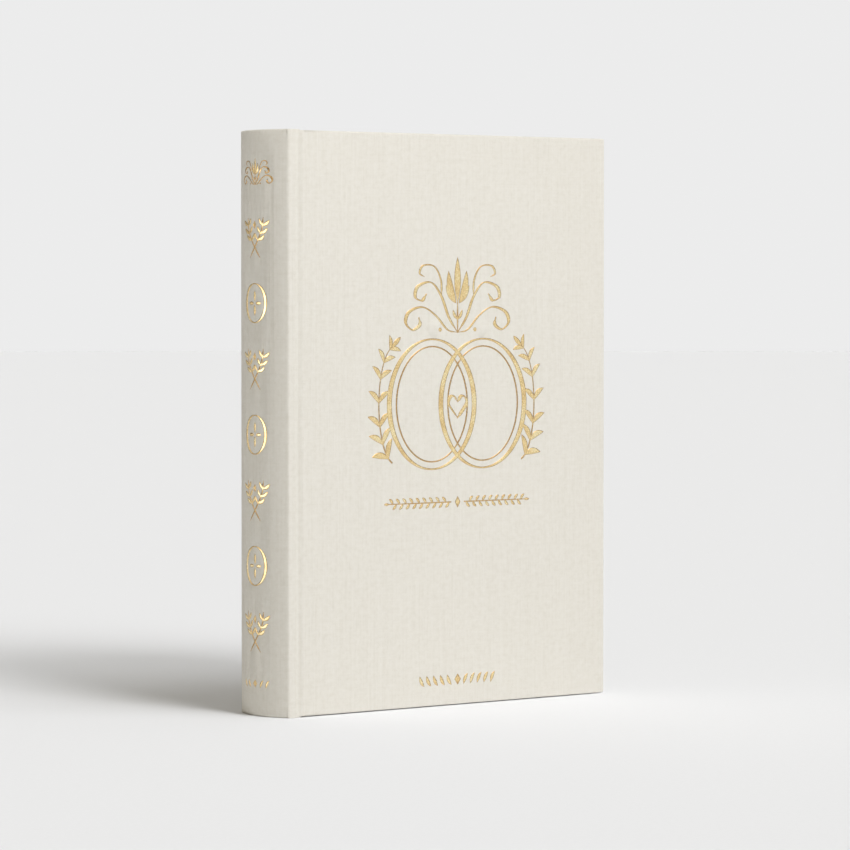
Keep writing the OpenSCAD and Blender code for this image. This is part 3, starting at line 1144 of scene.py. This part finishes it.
def signature(number):
    """One section: four folded sheets, whose eight leaves end a little unevenly."""
    fold_x, y, radius = section_shape(number)
    dice = random.Random(number)
    points, faces, tones = [], [], []
    for k in range(SHEETS):
        r = radius - LEAF_T / 2 - k * (radius / SHEETS) * 0.97
        front_end = PAGE_X - abs(dice.gauss(0, 0.07)) - 0.02 * k
        back_end = PAGE_X - abs(dice.gauss(0, 0.07)) - 0.02 * k
        path = [(x, -r) for x in np.linspace(front_end, SHOULDER_X + LEAF_FLAT, 5)]
        path += [(x, -r) for x in np.linspace(SHOULDER_X + LEAF_BEND, fold_x + 1.0, 26)]
        path += [tuple(p) for p in arc(fold_x, 0, r, r, -90, -270, 9)]
        path += [(x, r) for x in np.linspace(fold_x + 1.0, SHOULDER_X + LEAF_BEND, 26)]
        path += [(x, r) for x in np.linspace(SHOULDER_X + LEAF_FLAT, back_end, 5)]
        top = PAGE_TOP - abs(dice.gauss(0, 0.03))
        bottom = PAGE_Z + abs(dice.gauss(0, 0.03))
        made, made_faces = strip_solid([(px, y + py) for px, py in path], LEAF_T, bottom, top)
        start = len(points)
        points += made
        faces += [[start + i for i in f] for f in made_faces]
        front_tone, back_tone = dice.random(), dice.random()
        tones += [front_tone if py < y else back_tone for _, py, _ in made]
    node = f"signature_{number:02d}"
    obj = recalculated(mesh_object(node + "_leaves", points, faces, LEAF, sheet_uvs(points)))
    set_point_values(obj, "leaf_tone", tones)
    if FIRST_FIXED <= number <= LAST_FIXED:
        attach(obj, "spine")
    else:
        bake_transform(obj)
    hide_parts(node)


def back_arc():
    """Centre and radius of the arc that the sections' folds lie on."""
    end_x, end_y, fold_r = section_shape(SECTIONS)
    top_x = section_shape((SECTIONS + 1) // 2)[0]
    rise = end_x - top_x
    radius = (end_y ** 2 + rise ** 2) / (2 * rise)
    return top_x + radius, radius, fold_r


def band(name, edge, direction):
    """A headband on the block's edge at this height: a bead wound with silk, and the tape that carries it."""
    centre_x, radius, fold_r = back_arc()
    half, turns, around = math.radians(BAND_ANGLE), 320, 14
    bead_r, bead_z = 1.0, edge + direction * 1.15
    points, uvs = [], []
    for i in range(turns + 1):
        a = -half + 2 * half * i / turns
        wound = bead_r + 0.08 * abs(math.sin(math.pi * i / 5))
        for j in range(around):
            b = 2 * math.pi * j / around
            reach = radius + 0.35 + wound * math.cos(b)
            points.append((centre_x - reach * math.cos(a), reach * math.sin(a), bead_z + wound * math.sin(b)))
            uvs.append((radius * a, bead_r * b))
    faces = grid_faces(turns + 1, around, closed=True)
    faces += [list(range(around)), [turns * around + j for j in range(around)][::-1]]
    steps, start = 40, len(points)
    inner = radius + fold_r + 0.04
    loop = ((inner, edge - direction * 12), (inner, edge + direction * 0.9),
            (inner + 0.22, edge + direction * 0.9), (inner + 0.22, edge - direction * 12))
    for i in range(steps + 1):
        a = -half + 2 * half * i / steps
        for reach, z in loop:
            points.append((centre_x - reach * math.cos(a), reach * math.sin(a), z))
            uvs.append((radius * a, z))
    faces += grid_faces(steps + 1, 4, start=start, closed=True)
    faces += [[start, start + 1, start + 2, start + 3], [start + steps * 4 + j for j in (3, 2, 1, 0)]]
    obj = recalculated(mesh_object(name + "_silk", points, faces, SILK, uvs))
    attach(obj, "spine")
    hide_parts(name)


def build_block():
    for number in range(1, SECTIONS + 1):
        signature(number)
    for side, name in ((-1, "front"), (1, "back")):
        flyleaf(side, name + "_flyleaf")
        pastedown(side, name + "_pastedown", name + "_cover")
        endpaper_joint(side, name)
    band("headband", PAGE_TOP, 1)
    band("tailband", PAGE_Z, -1)


# ---- CAD pieces that keep their shape ----

def dress(node, material, bevel=0.0):
    """Gives a CAD piece its material, and rounds its edges by a bevel in millimetres."""
    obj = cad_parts[node]
    obj.data.materials.clear()
    obj.data.materials.append(material)
    if bevel:
        modifier = obj.modifiers.new("edges", "BEVEL")
        modifier.width = bevel * MM
        modifier.segments = 3


def dress_cad():
    for side in ("front", "back"):
        dress(side + "_board", BOARD, 0.5)
        dress(side + "_mull_wing", MULL)
    dress("mull", MULL)
    dress("spine_lining", KRAFT)
    dress("sewing_thread", THREAD)


# ---- Studio ----

FLOOR_TONE = (0.765, 0.773, 0.792)
KEY = 0.82
FLOOR_LIGHT = 1.97
OVERHEAD = 2.4
GLINT = 2.8
SKY_LEFT = (0.240, 0.215, 0.162, 1)
SKY_RIGHT = (0.745, 0.738, 0.715, 1)
BACKDROP_TONE = (0.84, 0.84, 0.84)
BACKDROP_RADIUS = 12.0

# Directions and places of lights: to the right, towards the camera and up, as the camera sees them.
KEY_FROM = (0.20, 0.12, 0.38)
KEY_ANGLE = 30
KEY_COLOUR = (1.0, 1.01, 1.03)
FLOOR_LIGHT_FROM = (0.50, 0.62, 0.55)
FLOOR_LIGHT_ANGLE = 24
OVERHEAD_FROM = (250, 550, 900)
OVERHEAD_AIM = 100
OVERHEAD_SIZE = 0.5
GLINT_FROM = (-900, 250, 150)
GLINT_SIZE = 0.7


def add_floor():
    """A pale seamless floor that runs far out on all sides."""
    reach = (-13000, -4000, 4000, 13000)
    points = [(x, y, 0) for y in reach for x in reach]
    floor = mesh_object("floor", points, grid_faces(4, 4), studio_material("seamless paper", FLOOR_TONE))
    floor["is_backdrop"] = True
    return floor


def add_backdrop():
    """A pale dome that only the camera sees, so that every view has the same plain background."""
    mesh = bpy.data.meshes.new("backdrop")
    dome = bmesh.new()
    bmesh.ops.create_uvsphere(dome, u_segments=48, v_segments=24, radius=BACKDROP_RADIUS)
    dome.to_mesh(mesh)
    dome.free()
    material = bpy.data.materials.new("backdrop light")
    material.use_nodes = True
    nodes = material.node_tree.nodes
    nodes.remove(nodes["Principled BSDF"])
    glow = nodes.new("ShaderNodeEmission")
    glow.inputs["Color"].default_value = (*BACKDROP_TONE, 1)
    material.node_tree.links.new(glow.outputs[0], nodes["Material Output"].inputs["Surface"])
    mesh.materials.append(material)
    obj = add_object("backdrop", mesh)
    obj.visible_diffuse = False
    obj.visible_glossy = False
    obj.visible_transmission = False
    obj.visible_shadow = False
    obj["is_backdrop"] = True


def add_turned(name, data, place, back):
    """A light or camera at a place in millimetres, which looks away from the direction back."""
    obj = add_object(name, data)
    obj.location = Vector(place) * MM
    obj.rotation_mode = "QUATERNION"
    obj.rotation_quaternion = back.to_track_quat("Z", "Y")
    return obj


def add_sun(name, direction, strength, angle, colour=(1, 1, 1)):
    """A soft light from far away. direction points from the book to the light."""
    light = bpy.data.lights.new(name, "SUN")
    light.energy = strength
    light.angle = math.radians(angle)
    light.color = colour
    return add_turned(name, light, (0, 0, 0), direction)


CAMERA_AZIMUTH = -39.0
CAMERA_ELEVATION = 1.91
CAMERA_DISTANCE = 2225.0
CAMERA_AIM = (RIDGE_X + 90.3, -COVER_Y, 150.1)
CAMERA_LENS = 177.9
SENSOR_WIDTH = 36.0
CAMERA_CLIP_END = 100.0


def add_camera():
    azimuth, elevation = math.radians(CAMERA_AZIMUTH), math.radians(CAMERA_ELEVATION)
    back = Vector((math.sin(azimuth) * math.cos(elevation), -math.cos(azimuth) * math.cos(elevation),
                   math.sin(elevation)))
    data = bpy.data.cameras.new("camera")
    data.lens = CAMERA_LENS
    data.sensor_width = SENSOR_WIDTH
    data.clip_end = CAMERA_CLIP_END
    place = Vector(CAMERA_AIM) + back * CAMERA_DISTANCE
    bpy.context.scene.camera = add_turned("camera", data, place, back)


def camera_axes():
    azimuth = math.radians(CAMERA_AZIMUTH)
    right = Vector((math.cos(azimuth), math.sin(azimuth), 0))
    front = Vector((math.sin(azimuth), -math.cos(azimuth), 0))
    return right, front


def add_world(right):
    """An even sky that is darker and warmer on the left of the camera."""
    world = bpy.data.worlds.new("studio")
    world.use_nodes = True
    tree = world.node_tree
    direction = tree.nodes.new("ShaderNodeTexCoord").outputs["Generated"]
    dot = tree.nodes.new("ShaderNodeVectorMath")
    dot.operation = "DOT_PRODUCT"
    dot.inputs[1].default_value = right
    tree.links.new(direction, dot.inputs[0])
    side = tree.nodes.new("ShaderNodeMapRange")
    side.interpolation_type = "SMOOTHSTEP"
    side.inputs["From Min"].default_value = -1.0
    side.inputs["From Max"].default_value = 0.9
    tree.links.new(dot.outputs["Value"], side.inputs["Value"])
    colour = tree.nodes.new("ShaderNodeMixRGB")
    colour.inputs[1].default_value = SKY_LEFT
    colour.inputs[2].default_value = SKY_RIGHT
    tree.links.new(side.outputs[0], colour.inputs[0])
    tree.links.new(colour.outputs[0], tree.nodes["Background"].inputs["Color"])
    bpy.context.scene.world = world


def light_only(light, objects):
    """Makes a light shine on these objects alone. All objects still cast their shadow in it."""
    receivers = bpy.data.collections.new(light.name + " receivers")
    for obj in objects:
        receivers.objects.link(obj)
    light.light_linking.receiver_collection = receivers


def add_softbox(name, place, aim, power, size):
    light = bpy.data.lights.new(name, "AREA")
    light.energy = power
    light.size = size
    return add_turned(name, light, place, place - aim)


def add_lights(floor):
    right, front = camera_axes()

    def seen(across, towards, upwards):
        return right * across + front * towards + Vector((0, 0, upwards))

    add_sun("key", seen(*KEY_FROM), KEY, KEY_ANGLE, KEY_COLOUR)
    low = add_sun("floor light", seen(*FLOOR_LIGHT_FROM), FLOOR_LIGHT, FLOOR_LIGHT_ANGLE)
    light_only(low, [floor])
    middle = Vector((0, 0, BOOK_H / 2))
    overhead = add_softbox("overhead softbox", middle + seen(*OVERHEAD_FROM),
                           middle + Vector((0, 0, OVERHEAD_AIM)), OVERHEAD, OVERHEAD_SIZE)
    light_only(overhead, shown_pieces())
    spine_middle = Vector((APEX_X, 0, BOOK_H / 2))
    glint = add_softbox("spine foil glint", spine_middle + seen(*GLINT_FROM), spine_middle,
                        GLINT, GLINT_SIZE)
    light_only(glint, [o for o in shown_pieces() if o.name.startswith("spine_foil")])
    add_world(right)
    bpy.context.scene.view_settings.view_transform = "Standard"


add_camera()
add_backdrop()
build_case()
build_block()
dress_cad()
add_lights(add_floor())
